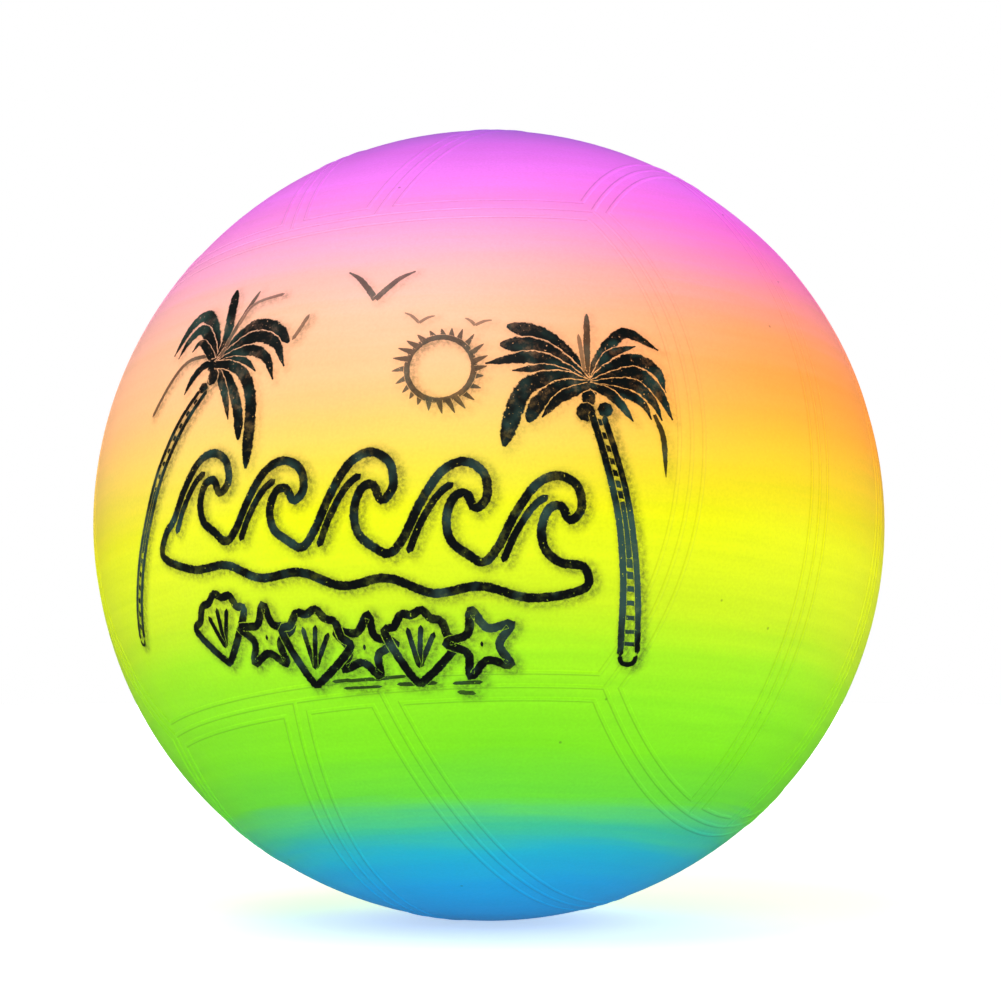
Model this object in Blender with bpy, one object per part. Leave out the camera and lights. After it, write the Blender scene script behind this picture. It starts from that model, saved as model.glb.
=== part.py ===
"""A toy volleyball of soft PVC: a one-piece rotomoulded ball, the valve seat in its wall and the plug.

Units are metres, +Z is up, and the origin is the centre of the ball. The picture side faces -Y.
"""

import math

import bmesh
import bpy
from mathutils import Matrix, Vector

# The ball
BALL_DIAMETER = 0.220  # over the smooth wall, without the welts
WALL = 0.0012
GAP = 0.0003  # between pieces that touch on the real ball

# How the mould's own axes lie in the part's frame
MOULD_TIP = math.radians(11.7)  # the picture side looks up by this much
MOULD_LEAN = math.radians(7.1)  # then the top of the mould leans towards -X

# The seams of the mould: low flat welts
WELT_WIDTH = 0.0086
WELT_CHAMFER = 0.0006
WELT_HEIGHT = 0.0003
MIDDLE_STRIP_HALF_ANGLE = math.radians(11.2)  # half the width of a face's middle strip
SKIN_SUBDIVISIONS = 4  # of the icosphere that the outside is cut from
LINING_SUBDIVISIONS = 4
SNAP = 0.00015  # a corner nearer than this to a cut moves onto it

# The valve seat
SEAT_FACE_RADIUS = 0.0070
FLANGE_RADIUS = 0.0120
FLANGE_THICKNESS = 0.0012
NECK_RADIUS = 0.0042
NECK_TAPER = 0.0008
NECK_LENGTH = 0.0110  # below the flange
RECESS_CLEARANCE = 0.0004
NAIL_NOTCH_RADIUS = 0.0016

# The plug
PLUG_HEAD_RADIUS = 0.0033
PLUG_HEAD_THICKNESS = 0.0011
PLUG_SUNK = 0.0002  # its head lies this far below the seat's face
PLUG_STEM_RADIUS = 0.0014
PLUG_STEM_LENGTH = 0.0100
PLUG_TIP_RADIUS = 0.0009
PLUG_TIP_LENGTH = 0.0015

TURNED_STEPS = 32
SMOOTH_UP_TO = math.radians(35)  # faces that meet at more than this show an edge

# Finishes: a colour and a roughness
SPRAYED_SOFT_PVC = ((0.75, 0.80, 0.05), 0.38)
NATURAL_SOFT_PVC = ((0.82, 0.80, 0.72), 0.45)
WHITE_FIRM_PVC = ((0.88, 0.88, 0.86), 0.40)

BALL_RADIUS = BALL_DIAMETER / 2
LINING_RADIUS = BALL_RADIUS - WALL
WELT_FOOT_ANGLE = WELT_WIDTH / 2 / BALL_RADIUS
WELT_TOP_ANGLE = WELT_FOOT_ANGLE - WELT_CHAMFER / BALL_RADIUS
# Every strip ends on the circle through the four corners of its cube face
FACE_CIRCLE = 1 / math.sqrt(3)

AXES = [Vector((1, 0, 0)), Vector((0, 1, 0)), Vector((0, 0, 1))]
# The strips of the faces on one axis run towards the faces on the next: X to Z, Y to X, Z to Y
STRIPS_RUN_TOWARDS = {0: 2, 1: 0, 2: 1}
PICTURE_FACE = -AXES[1]
VALVE_FACE = AXES[1]


def clear_scene():
    for obj in list(bpy.data.objects):
        bpy.data.objects.remove(obj, do_unlink=True)


def plastic(name, finish):
    colour, roughness = finish
    material = bpy.data.materials.new(name)
    material.use_nodes = True
    shader = material.node_tree.nodes["Principled BSDF"]
    shader.inputs["Base Color"].default_value = (*colour, 1)
    shader.inputs["Roughness"].default_value = roughness
    shader.inputs["Metallic"].default_value = 0.0
    return material


def object_from(bm, name, material):
    mesh = bpy.data.meshes.new(name)
    bm.to_mesh(mesh)
    bm.free()
    mesh.shade_smooth()
    mesh.set_sharp_from_angle(angle=SMOOTH_UP_TO)
    mesh.materials.append(material)
    obj = bpy.data.objects.new(name, mesh)
    bpy.context.scene.collection.objects.link(obj)
    return obj


class Seam:
    """A stretch of a circle on the ball: where normal . p equals level, and inside() holds."""

    def __init__(self, normal, level, inside):
        self.normal = normal
        self.angle = math.asin(level)
        self.inside = inside

    def distance(self, direction):
        return abs(math.asin(max(-1, min(1, direction.dot(self.normal)))) - self.angle)


def edge_seam(face, end, across):
    """The seam in which the strips of this face end, on the side of the face called end."""

    def inside(direction, margin=0.0):
        return direction.dot(end) > 0 and abs(direction.dot(across)) < FACE_CIRCLE + margin

    return Seam(face, FACE_CIRCLE, inside)


def strip_seam(face, across):
    """The seam between the middle strip of this face and the strip on the side called across."""
    normal = across * math.cos(MIDDLE_STRIP_HALF_ANGLE) - face * math.sin(MIDDLE_STRIP_HALF_ANGLE)

    def inside(direction, margin=0.0):
        return direction.dot(face) > FACE_CIRCLE - margin

    return Seam(normal, 0.0, inside)


def mould_seams():
    seams = []
    for axis, towards in STRIPS_RUN_TOWARDS.items():
        across = AXES[3 - axis - towards]
        for face in (AXES[axis], -AXES[axis]):
            for end in (AXES[towards], -AXES[towards]):
                seams.append(edge_seam(face, end, across))
            if face == PICTURE_FACE:
                continue  # the picture needs a smooth panel
            seams += [strip_seam(face, across), strip_seam(face, -across)]
    return seams


def cut_along(bm, seam, offset, reach):
    """Gives the ball a line of edges along the seam, offset to one side of it."""
    angle = seam.angle + offset
    level = BALL_RADIUS * math.sin(angle)
    faces = []
    for face in bm.faces:
        spots = [vert.co.normalized() for vert in face.verts]
        spots.append(face.calc_center_median().normalized())
        if any(seam.inside(spot, reach) for spot in spots):
            faces.append(face)
    edges = {edge for face in faces for edge in face.edges}
    verts = {vert for face in faces for vert in face.verts}
    cut = bmesh.ops.bisect_plane(
        bm,
        geom=faces + list(edges) + list(verts),
        dist=SNAP,
        plane_co=seam.normal * level,
        plane_no=seam.normal,
    )
    for vert in cut["geom_cut"]:
        if isinstance(vert, bmesh.types.BMVert):
            outwards = (vert.co - seam.normal * vert.co.dot(seam.normal)).normalized()
            vert.co = seam.normal * level + outwards * BALL_RADIUS * math.cos(angle)


def welt_height(direction, seams):
    """How far the mould raises the wall here."""
    distance = min((s.distance(direction) for s in seams if s.inside(direction)), default=math.pi)
    rise = (WELT_FOOT_ANGLE - distance) / (WELT_FOOT_ANGLE - WELT_TOP_ANGLE)
    return WELT_HEIGHT * max(0.0, min(1.0, rise))


def outside_of_ball():
    bm = bmesh.new()
    bmesh.ops.create_icosphere(bm, subdivisions=SKIN_SUBDIVISIONS, radius=BALL_RADIUS)
    seams = mould_seams()
    for seam in seams:
        for offset in (WELT_FOOT_ANGLE, WELT_TOP_ANGLE, -WELT_TOP_ANGLE, -WELT_FOOT_ANGLE):
            cut_along(bm, seam, offset, WELT_FOOT_ANGLE)
    for vert in bm.verts:
        direction = vert.co.normalized()
        vert.co = direction * (BALL_RADIUS + welt_height(direction, seams))
    bmesh.ops.triangulate(bm, faces=bm.faces[:])
    return bm


def add_lining(bm):
    lining = bmesh.ops.create_icosphere(bm, subdivisions=LINING_SUBDIVISIONS, radius=LINING_RADIUS)
    faces = {face for vert in lining["verts"] for face in vert.link_faces}
    bmesh.ops.reverse_faces(bm, faces=list(faces))


def turned(profile, ring):
    """An outline of (radius, height) points spun round Z. A ring's outline closes; other ends are filled."""
    bm = bmesh.new()
    verts = [bm.verts.new((radius, 0, height)) for radius, height in profile]
    pairs = list(zip(verts, verts[1:]))
    if ring:
        pairs.append((verts[-1], verts[0]))
    edges = [bm.edges.new(pair) for pair in pairs]
    bmesh.ops.spin(
        bm,
        geom=verts + edges,
        cent=(0, 0, 0),
        axis=(0, 0, 1),
        angle=math.tau,
        steps=TURNED_STEPS,
        use_merge=True,
    )
    if not ring:
        bmesh.ops.holes_fill(bm, edges=bm.edges[:], sides=TURNED_STEPS)
    bmesh.ops.recalc_face_normals(bm, faces=bm.faces[:])
    return bm


def cutter(name, radius, bottom, top, at=(0, 0)):
    bm = bmesh.new()
    bmesh.ops.create_cone(
        bm, cap_ends=True, segments=TURNED_STEPS, radius1=radius, radius2=radius, depth=top - bottom
    )
    bmesh.ops.translate(bm, verts=bm.verts[:], vec=(*at, (top + bottom) / 2))
    mesh = bpy.data.meshes.new(name)
    bm.to_mesh(mesh)
    bm.free()
    obj = bpy.data.objects.new(name, mesh)
    obj.hide_render = True
    obj.display_type = "WIRE"
    bpy.context.scene.collection.objects.link(obj)
    return obj


def subtract(obj, tool):
    modifier = obj.modifiers.new(tool.name, "BOOLEAN")
    modifier.operation = "DIFFERENCE"
    modifier.solver = "EXACT"
    modifier.object = tool


# Heights on the valve's axis, from the ball's centre outwards
SEAT_FACE = math.sqrt(BALL_RADIUS**2 - (SEAT_FACE_RADIUS + GAP) ** 2)
FLANGE_TOP = math.sqrt(LINING_RADIUS**2 - FLANGE_RADIUS**2) - GAP
FLANGE_BOTTOM = FLANGE_TOP - FLANGE_THICKNESS
NECK_END = FLANGE_BOTTOM - NECK_LENGTH
RECESS_RADIUS = PLUG_HEAD_RADIUS + RECESS_CLEARANCE
RECESS_FLOOR = SEAT_FACE - PLUG_SUNK - PLUG_HEAD_THICKNESS - GAP
NEEDLE_HOLE_RADIUS = PLUG_STEM_RADIUS + GAP
ABOVE_THE_WALL = BALL_RADIUS + 0.011


def make_ball_skin(material):
    bm = outside_of_ball()
    add_lining(bm)
    return object_from(bm, "ball_skin", material)


def make_valve_seat(material):
    profile = [
        (RECESS_RADIUS, SEAT_FACE),
        (SEAT_FACE_RADIUS, SEAT_FACE),
        (SEAT_FACE_RADIUS, FLANGE_TOP),
        (FLANGE_RADIUS, FLANGE_TOP),
        (FLANGE_RADIUS, FLANGE_BOTTOM),
        (NECK_RADIUS, FLANGE_BOTTOM),
        (NECK_RADIUS - NECK_TAPER, NECK_END),
        (NEEDLE_HOLE_RADIUS, NECK_END),
        (NEEDLE_HOLE_RADIUS, RECESS_FLOOR),
        (RECESS_RADIUS, RECESS_FLOOR),
    ]
    return object_from(turned(profile, ring=True), "valve_seat", material)


def make_valve_plug(material):
    """Its origin is on the seat's axis, at the underside of its head."""
    outline = [
        (PLUG_HEAD_RADIUS, PLUG_HEAD_THICKNESS),
        (PLUG_HEAD_RADIUS, 0),
        (PLUG_STEM_RADIUS, 0),
        (PLUG_STEM_RADIUS, PLUG_TIP_LENGTH - PLUG_STEM_LENGTH),
        (PLUG_TIP_RADIUS, -PLUG_STEM_LENGTH),
    ]
    return object_from(turned(outline, ring=False), "valve_plug", material)


def main():
    clear_scene()
    skin_pvc = plastic("sprayed_soft_pvc", SPRAYED_SOFT_PVC)
    seat_pvc = plastic("natural_soft_pvc", NATURAL_SOFT_PVC)
    plug_pvc = plastic("white_firm_pvc", WHITE_FIRM_PVC)

    mould = bpy.data.objects.new("mould_axes", None)
    mould.rotation_euler = (
        Matrix.Rotation(-MOULD_TIP, 3, "X") @ Matrix.Rotation(-MOULD_LEAN, 3, "Y")
    ).to_euler()
    valve = bpy.data.objects.new("valve_axis", None)
    valve.rotation_euler = VALVE_FACE.to_track_quat("Z", "Y").to_euler()
    valve.parent = mould
    for empty in (mould, valve):
        bpy.context.scene.collection.objects.link(empty)

    skin = make_ball_skin(skin_pvc)
    skin.parent = mould
    seat = make_valve_seat(seat_pvc)
    seat.parent = valve
    plug = make_valve_plug(plug_pvc)
    plug.parent = valve
    plug.location = (0, 0, RECESS_FLOOR + GAP)

    wall_hole = cutter("wall_hole_cutter", SEAT_FACE_RADIUS + GAP, NECK_END, ABOVE_THE_WALL)
    wall_hole.parent = valve
    subtract(skin, wall_hole)
    flange_pocket = cutter("flange_pocket_cutter", FLANGE_RADIUS + GAP, NECK_END, FLANGE_TOP + GAP)
    flange_pocket.parent = valve
    subtract(skin, flange_pocket)
    nail_notch = cutter(
        "nail_notch_cutter", NAIL_NOTCH_RADIUS, RECESS_FLOOR + GAP, ABOVE_THE_WALL, (RECESS_RADIUS, 0)
    )
    nail_notch.parent = valve
    subtract(seat, nail_notch)


main()
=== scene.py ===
"""A toy volleyball of soft PVC: sprayed rainbow skin with raised seam beads, stamped picture, valve and plug.

Units are metres, +Z is up, and the origin is the centre of the ball. The picture side faces -Y.
Lengths named _MM are millimetres on the ball's surface.
"""

import math

import bmesh
import bpy
import numpy as np
from mathutils import Matrix, Vector, kdtree

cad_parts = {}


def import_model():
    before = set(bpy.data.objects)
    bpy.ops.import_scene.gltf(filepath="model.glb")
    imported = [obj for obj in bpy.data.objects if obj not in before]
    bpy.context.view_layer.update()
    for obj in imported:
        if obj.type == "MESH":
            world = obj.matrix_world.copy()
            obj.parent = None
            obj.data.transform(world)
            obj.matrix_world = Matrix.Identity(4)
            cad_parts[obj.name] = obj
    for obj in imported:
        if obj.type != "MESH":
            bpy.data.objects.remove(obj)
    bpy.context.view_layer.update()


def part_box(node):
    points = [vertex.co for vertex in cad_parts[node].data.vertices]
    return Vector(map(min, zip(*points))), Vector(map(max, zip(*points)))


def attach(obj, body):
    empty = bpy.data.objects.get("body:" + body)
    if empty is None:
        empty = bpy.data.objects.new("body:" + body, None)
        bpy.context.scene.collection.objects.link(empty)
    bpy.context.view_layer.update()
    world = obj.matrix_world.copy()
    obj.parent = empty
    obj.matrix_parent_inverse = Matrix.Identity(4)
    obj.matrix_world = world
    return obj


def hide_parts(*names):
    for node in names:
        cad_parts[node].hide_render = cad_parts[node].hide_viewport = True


MM = 0.001

# The ball, as its CAD solid has it
BALL_RADIUS = 0.110
WALL = 0.0012
MOULD_TIP = math.radians(11.7)
MOULD_LEAN = math.radians(7.1)
MIDDLE_STRIP_HALF_ANGLE = math.radians(11.2)
FACE_CIRCLE = 1 / math.sqrt(3)

# Three raised beads along each seam
BEAD_HALF_WIDTH = 0.00052
BEAD_HEIGHT = 0.00022
BEAD_SPACING = 0.0037
BEAD_LINES = (-0.00080, -BEAD_HALF_WIDTH, -0.00028, 0.0, 0.00028, BEAD_HALF_WIDTH, 0.00080)
SHADE_LINE_HALF_WIDTH = 0.00024
# Painted shade and highlight along the beads: the foot of a bead on its side away from the light is painted
# darkest, as shade, and the other foot a little lighter than the wall, as a painted highlight
SHADE_EVEN = 0.4
SHADE_SLOPE = 1.5
# How far past the outer beads the wall is cut, how close a cut snaps to a corner, and farther than any seam
CUT_MARGIN = 0.004
SNAP = 0.00012
FAR_OFF = 1.0

# The valve, on the side away from the picture
SEAT_FACE_RADIUS = 0.0071
WALL_HOLE_RADIUS = 0.0073
# The wall's soft lip at the hole: steps of (drop, inset)
HOLE_LIP = ((0.00008, 0.00002), (0.00022, 0.00005), (0.00050, 0.00005))
SEAT_FACE = 0.109758
FLANGE_RADIUS = 0.0120
FLANGE_TOP = 0.107838
FLANGE_THICKNESS = 0.0012
NECK_RADIUS = 0.0042
NECK_TAPER = 0.0008
NECK_LENGTH = 0.0110
RECESS_RADIUS = 0.0037
RECESS_DEPTH = 0.0016
NAIL_NOTCH_DEPTH = 0.0014
NAIL_NOTCH_DEPTH_AT_FACE = 0.0008
NEEDLE_HOLE_RADIUS = 0.0017
PLUG_HEAD_RADIUS = 0.0033
PLUG_HEAD_THICKNESS = 0.0011
PLUG_STEM_RADIUS = 0.0014
PLUG_STEM_LENGTH = 0.0100
PLUG_TIP_RADIUS = 0.0009
PLUG_TIP_LENGTH = 0.0015
PLUG_RIB = 0.00014
PLUG_RIBS_BELOW_HEAD = (0.0022, 0.0045, 0.0068)
PLUG_RIB_HALF_LENGTH = 0.0004
PLUG_SEATED_GAP = 0.0003

# How fine the meshes are
TURNED_STEPS = 96
SKIN_FINENESS = 6
LINING_FINENESS = 5
INK_REFINEMENTS = 2
SHARP_ON_SKIN = 60
SHARP_ON_VALVE = 45
SHARP_ON_FLOOR = 40

# The sprayed bands run round this axis
BAND_AXIS = Vector((-0.080, 0.154, 0.985)).normalized()

# The picture's own frame: its centre on the ball, with its top towards +Z
PICTURE_AZIMUTH = math.radians(17.3)
PICTURE_HEIGHT_ANGLE = math.radians(5.6)
# No ink or mist lies farther from its centre than this, sideways and up
PICTURE_REACH_MM = (110, 80)

# The ink: each film lies one step above the last, so that no two share a surface. Most strokes take the nine
# middle films in turn, two films lie below those, and one lies on top.
INK_THICKNESS = 0.00005
FILM_STEP = 0.000003
FIRST_FILM = 2
FILMS_IN_TURN = 9
TOP_FILM = 11
INK_STEP_MM = 0.9
THIN_LINE_MM = 1.6
# Stray ink drifted down and to the right, and the wall needs small faces a little past it
MIST_REACH_MM = 2.6
MIST_DRIFT_MM = Vector((1.2, -0.7))
MIST_MARGIN_MM = 2.5

# The camera and the studio
VIEW_AZIMUTH = math.radians(27.3)
VIEW_DISTANCE = 1.064
LENS_MM = 136.8
SENSOR_MM = 36.0
CAMERA_SHIFT = (0.0112, 0.0250)
FLOOR_RADIUS = 1.3
WORLD_ON_BALL = 0.12
FLOOR_GAP = 0.0002

SUN_RAYS = 24
LEAF_FULLNESS = 1.38

AXES = [Vector((1, 0, 0)), Vector((0, 1, 0)), Vector((0, 0, 1))]
# The strips of the faces on one axis run towards the faces on the next: X to Z, Y to X, Z to Y
STRIPS_RUN_TOWARDS = {0: 2, 1: 0, 2: 1}
PICTURE_FACE = -AXES[1]
VALVE_FACE = AXES[1]
MOULD = Matrix.Rotation(-MOULD_TIP, 3, "X") @ Matrix.Rotation(-MOULD_LEAN, 3, "Y")
# The side of the beads turned away from the light, where their feet get painted shade, in the mould's frame
SHADE_SIDE = np.array(MOULD.inverted() @ Vector((-0.49, -0.25, -0.84)))


# ---- seams


class Seam:
    """A stretch of a circle on the ball: where normal . p equals level, and inside() holds."""

    def __init__(self, normal, level, inside):
        self.normal = np.array(normal)
        self.angle = math.asin(level)
        self.inside = inside

    def offset(self, directions):
        """How far past the seam, on the side that its normal points to."""
        return (np.arcsin(np.clip(directions @ self.normal, -1, 1)) - self.angle) * BALL_RADIUS

    def distance(self, directions):
        return np.abs(self.offset(directions))


def edge_seam(face, end, across):
    """The seam in which the strips of this face end, on the side of the face called end."""
    end, across = np.array(end), np.array(across)

    def inside(directions, margin=0.0):
        return (directions @ end > 0) & (np.abs(directions @ across) < FACE_CIRCLE + margin)

    return Seam(face, FACE_CIRCLE, inside)


def strip_seam(face, across):
    """The seam between the middle strip of this face and the strip on the side called across."""
    normal = across * math.cos(MIDDLE_STRIP_HALF_ANGLE) - face * math.sin(MIDDLE_STRIP_HALF_ANGLE)
    face = np.array(face)

    def inside(directions, margin=0.0):
        return directions @ face > FACE_CIRCLE - margin

    return Seam(normal, 0.0, inside)


def mould_seams():
    seams = []
    for axis, towards in STRIPS_RUN_TOWARDS.items():
        across = AXES[3 - axis - towards]
        for face in (AXES[axis], -AXES[axis]):
            for end in (AXES[towards], -AXES[towards]):
                seams.append(edge_seam(face, end, across))
            if face == PICTURE_FACE:
                continue  # the picture needs a smooth panel
            seams += [strip_seam(face, across), strip_seam(face, -across)]
    return seams


SEAMS = mould_seams()


def directions_of(verts):
    points = np.array([vert.co for vert in verts])
    return points / np.linalg.norm(points, axis=1)[:, None]


def nearest_bead(directions):
    """The distance to the nearest bead's middle, and how far the side of it that faces here is the side away
    from the light, which gets painted shade.

    One bead lies on each seam and one on either side of it.
    """
    nearest = np.full(len(directions), FAR_OFF)
    shade_side = np.zeros(len(directions))
    for seam in SEAMS:
        offset = np.where(seam.inside(directions), seam.offset(directions), FAR_OFF)
        closer = np.abs(offset) < nearest
        shade_side = np.where(closer, np.sign(offset) * (seam.normal @ SHADE_SIDE), shade_side)
        nearest = np.minimum(nearest, np.abs(offset))
    past_outer = nearest - BEAD_SPACING
    outer = np.abs(past_outer) < nearest
    shade_side = np.where(outer, shade_side * np.sign(past_outer), shade_side)
    return np.where(outer, np.abs(past_outer), nearest), shade_side


def bead_height(directions):
    """How far the mould raises the wall here."""
    return BEAD_HEIGHT * np.clip(1 - (nearest_bead(directions)[0] / BEAD_HALF_WIDTH) ** 2, 0, 1)


def bead_shade_and_highlight(directions):
    """Painted shade and highlight along the beads: 1 at the foot of a bead on its side away from the light, and
    below 0, a painted highlight, at its other foot.
    """
    distance, shade_side = nearest_bead(directions)
    at_foot = np.clip(1 - np.abs(distance - BEAD_HALF_WIDTH) / SHADE_LINE_HALF_WIDTH, 0, 1)
    return at_foot * np.clip(SHADE_EVEN + SHADE_SLOPE * shade_side, -SHADE_EVEN, 1)


def cut_along(bm, seam):
    """Gives the ball lines of edges along the three beads of a seam."""
    bm.faces.ensure_lookup_table()
    centres = np.array([face.calc_center_median() for face in bm.faces])
    centres /= np.linalg.norm(centres, axis=1)[:, None]
    reach = BEAD_SPACING + CUT_MARGIN
    near = seam.inside(centres, reach / BALL_RADIUS) & (seam.distance(centres) < reach)
    faces = [bm.faces[i] for i in np.flatnonzero(near)]
    if not faces:
        return
    edges = {edge for face in faces for edge in face.edges}
    verts = {vert for face in faces for vert in face.verts}
    geom = faces + list(edges) + list(verts)
    normal = Vector(seam.normal)
    for bead in (-BEAD_SPACING, 0.0, BEAD_SPACING):
        for line in BEAD_LINES:
            angle = seam.angle + (bead + line) / BALL_RADIUS
            level = BALL_RADIUS * math.sin(angle)
            cut = bmesh.ops.bisect_plane(bm, geom=geom, dist=SNAP, plane_co=normal * level, plane_no=normal)
            geom = cut["geom"]
            for vert in cut["geom_cut"]:
                if isinstance(vert, bmesh.types.BMVert):
                    outwards = (vert.co - normal * vert.co.dot(normal)).normalized()
                    vert.co = normal * level + outwards * BALL_RADIUS * math.cos(angle)


# ---- the picture's frame

PICTURE_CENTRE = Vector(
    (
        math.sin(PICTURE_AZIMUTH) * math.cos(PICTURE_HEIGHT_ANGLE),
        -math.cos(PICTURE_AZIMUTH) * math.cos(PICTURE_HEIGHT_ANGLE),
        math.sin(PICTURE_HEIGHT_ANGLE),
    )
)
PICTURE_RIGHT = Vector((math.cos(PICTURE_AZIMUTH), math.sin(PICTURE_AZIMUTH), 0))
PICTURE_UP = PICTURE_RIGHT.cross(PICTURE_CENTRE) * -1


def onto_ball(x, y):
    """The smooth ball's point at this place of the picture, given in millimetres, in the mould's frame."""
    far = math.hypot(x, y)
    if far < 1e-9:
        return MOULD.inverted() @ PICTURE_CENTRE * BALL_RADIUS
    angle = far * MM / BALL_RADIUS
    sideways = (PICTURE_RIGHT * x + PICTURE_UP * y) / far
    direction = PICTURE_CENTRE * math.cos(angle) + sideways * math.sin(angle)
    return MOULD.inverted() @ direction * BALL_RADIUS


def picture_place(directions):
    """The places in the picture, in millimetres, of these directions in the mould's frame."""
    world = directions @ np.array(MOULD).T
    along = np.clip(world @ np.array(PICTURE_CENTRE), -1, 1)
    across = np.stack([world @ np.array(PICTURE_RIGHT), world @ np.array(PICTURE_UP)], axis=1)
    length = np.maximum(np.linalg.norm(across, axis=1), 1e-9)
    return across * (np.arccos(along) * BALL_RADIUS / MM / length)[:, None]


# ---- the picture's strokes


def wing(u, length, width):
    """A bird's wing: a line that is thinner at its tip."""
    return max(0.3, (1 - u**3) ** 0.7)


def smooth_path(points, closed, step):
    """Evenly spaced points along a smooth curve through these ones."""
    points = [Vector(point) for point in points]
    count = len(points)
    fine = []
    for i in range(count if closed else count - 1):
        if closed:
            a, b, c, d = (points[(i + k) % count] for k in (-1, 0, 1, 2))
        else:
            b, c = points[i], points[i + 1]
            a = points[i - 1] if i > 0 else b * 2 - c
            d = points[i + 2] if i + 2 < count else c * 2 - b
        for k in range(16):
            t = k / 16
            twice = b * 2 + (c - a) * t + (a * 2 - b * 5 + c * 4 - d) * t**2 + (b * 3 - a - c * 3 + d) * t**3
            fine.append(twice / 2)
    fine.append(points[0] if closed else points[-1])
    lengths = [0.0]
    for a, b in zip(fine, fine[1:]):
        lengths.append(lengths[-1] + (b - a).length)
    steps = max(4, round(lengths[-1] / step))
    even, at = [], 0
    for k in range(steps + 1):
        want = lengths[-1] * k / steps
        while at < len(fine) - 2 and lengths[at + 1] < want:
            at += 1
        span = max(lengths[at + 1] - lengths[at], 1e-9)
        even.append(fine[at].lerp(fine[at + 1], min(1.0, (want - lengths[at]) / span)))
    return even


def pen(u, length, width):
    """A line of one width with round ends."""
    from_end = min(u, 1 - u) * length / (width / 2)
    return math.sqrt(max(0.03, 1 - max(0.0, 1 - from_end) ** 2))


def leaf(u, length, width):
    """A palm leaf's blade: fullest in its middle, notched along its edges and pointed at its tip."""
    body = 0.55 + 0.45 * math.sin(math.pi / 2 * min(1.0, u / 0.45))
    notch = 1 - 0.16 * ((u * length / 3.1) % 1.0)
    return max(0.12, body * notch * (1 - u**4) ** 0.9)


def blunt_leaf(u, length, width):
    """A leaf that hangs with its blades together, so it stays wide to its end."""
    body = 0.60 + 0.40 * math.sin(math.pi / 2 * min(1.0, u / 0.45))
    notch = 1 - 0.12 * ((u * length / 3.7) % 1.0)
    return max(0.2, body * notch * (1 - u**14) ** 0.8)


def needle(u, length, width):
    """A line that thins to a point."""
    return max(0.12, (1 - u) ** 0.6)


class Stroke:
    """One stroke of ink. Its width is in millimetres, and cover is how much of the paint below it hides.

    Layer is its film of ink, counted from the paint. Thin is how far its lower part lets blue-green show.
    """

    def __init__(self, points, width, shape=pen, closed=False, cover=1.0, layer=None, thin=0.0):
        self.path = smooth_path(points, closed, INK_STEP_MM)
        self.width = width
        self.shape = shape
        self.closed = closed
        self.cover = cover
        self.layer = layer
        self.thin = thin
        self.mist = cover * (1.0 if shape is pen else 0.4)
        self.length = sum((b - a).length for a, b in zip(self.path, self.path[1:]))

    def width_at(self, u):
        return self.width * (1 if self.closed else self.shape(u, self.length, self.width))

    def place(self, u, v):
        """The point at this share of the length, and this share of the half width to the left."""
        last = len(self.path) - 1
        at = min(int(u * last + 1e-6), last - 1)
        point = self.path[at].lerp(self.path[at + 1], u * last - at)
        before = self.path[at - 1] if at > 0 or self.closed else self.path[at]
        if self.closed and at == 0:
            before = self.path[-2]
        after = self.path[at + 1] if u * last < last - 0.5 else self.path[1 if self.closed else -1]
        if abs(u * last - at) > 0.5:
            before = self.path[at]
        along = (after - before).normalized()
        return point + Vector((-along.y, along.x)) * (v * self.width_at(u) / 2)


def placed(points, corner, size, slant=0.0):
    """A design drawn in a unit square, put into the picture."""
    return [(corner[0] + x * size[0] + y * size[1] * slant, corner[1] + y * size[1]) for x, y in points]


def heart(u, length, width):
    """The knot that the leaves grow from: a ragged lump."""
    return 0.72 + 0.28 * math.sin(math.pi * u) - 0.12 * ((u * 5.0) % 1.0)


def ring(centre, radius, count):
    """Points on a circle."""
    angles = [math.tau * k / count for k in range(count)]
    return [(centre[0] + radius * math.cos(a), centre[1] + radius * math.sin(a)) for a in angles]


def palm_tree(crown, leaves, trunk, nuts):
    """Leaves are (width, points from the crown to the tip), and a blunt one says so after them."""
    strokes = []
    for width, points, *blunt in leaves:
        strokes.append(Stroke([crown, *points], width * LEAF_FULLNESS, blunt_leaf if blunt else leaf))
    strokes += trunk
    for centre, radius in nuts:
        strokes.append(Stroke(ring(centre, radius * 0.5, 8), radius * 1.08, closed=True))
    strokes += [
        Stroke([(crown[0] - 2.4, crown[1] + 0.4), (crown[0] + 2.4, crown[1] - 0.8)], 5.4, heart),
        Stroke([(crown[0] - 0.4, crown[1] - 1), (crown[0] + 0.2, crown[1] - 5.4)], 4.2, heart),
    ]
    return strokes


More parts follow.
